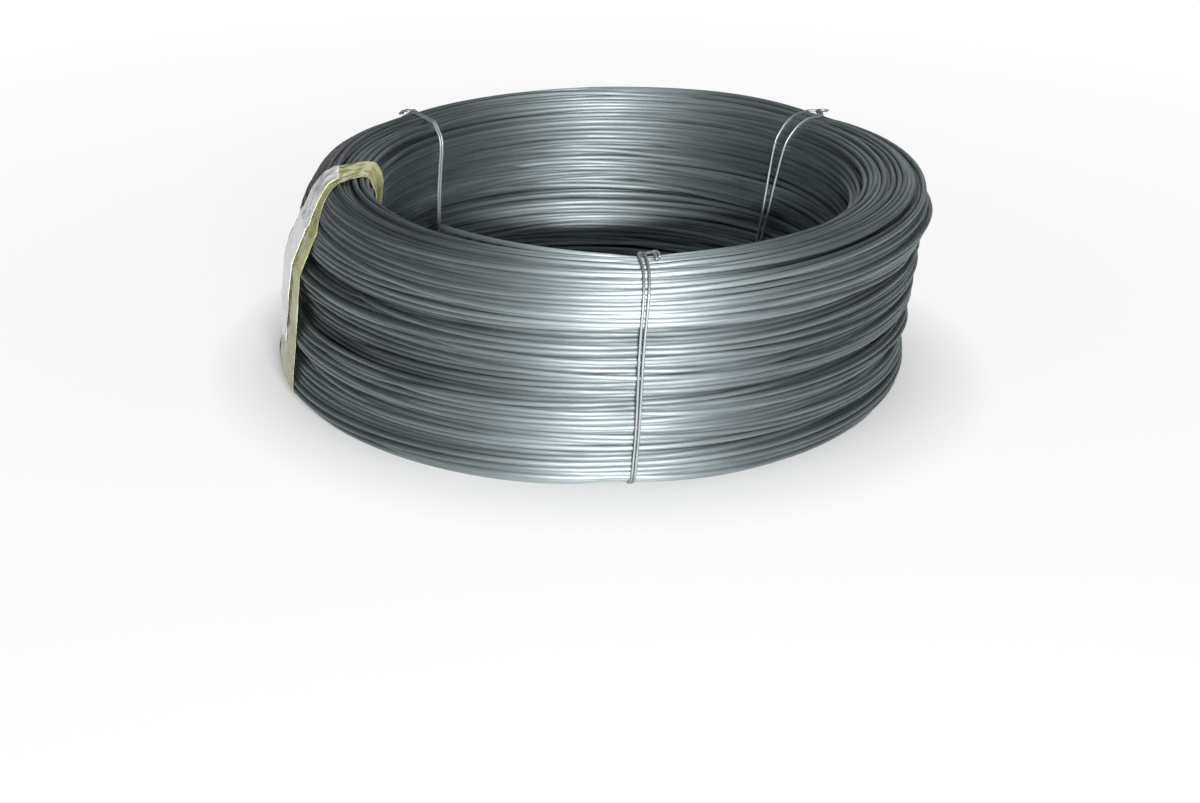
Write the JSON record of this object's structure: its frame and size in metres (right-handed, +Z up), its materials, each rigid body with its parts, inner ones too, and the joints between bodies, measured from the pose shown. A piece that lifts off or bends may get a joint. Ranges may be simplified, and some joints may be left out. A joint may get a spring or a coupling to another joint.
{
  "type": "coil of wire rod",
  "caption": "Coil of bare steel wire rod lying on its end, a ring of packed turns with a wide bore, held by wire ties and a band of packing tape with a blank label.",
  "frame": {"origin": "on the coil's axis, in the face that it rests on", "axes": "+Z up along the coil's axis, -Y towards the front tie's side, +X to the right as seen from there"},
  "size_m": [0.6899, 0.692, 0.2329],
  "materials": {
    "wire_steel": "drawn bare steel, satin, with a thin dry film",
    "tie_steel": "annealed bare steel wire, dull",
    "packing_tape": "clear yellowish film, glossy, wrinkled",
    "label_paper": "white, matt, blank"
  },
  "bodies": {
    "root": {"wire_coil": "wire_steel", "tie_wire_front": "tie_steel", "tie_wire_back_left": "tie_steel", "tie_wire_back_right": "tie_steel", "tape_band": "packing_tape", "paper_label": "label_paper"}
  },
  "joints": []
}
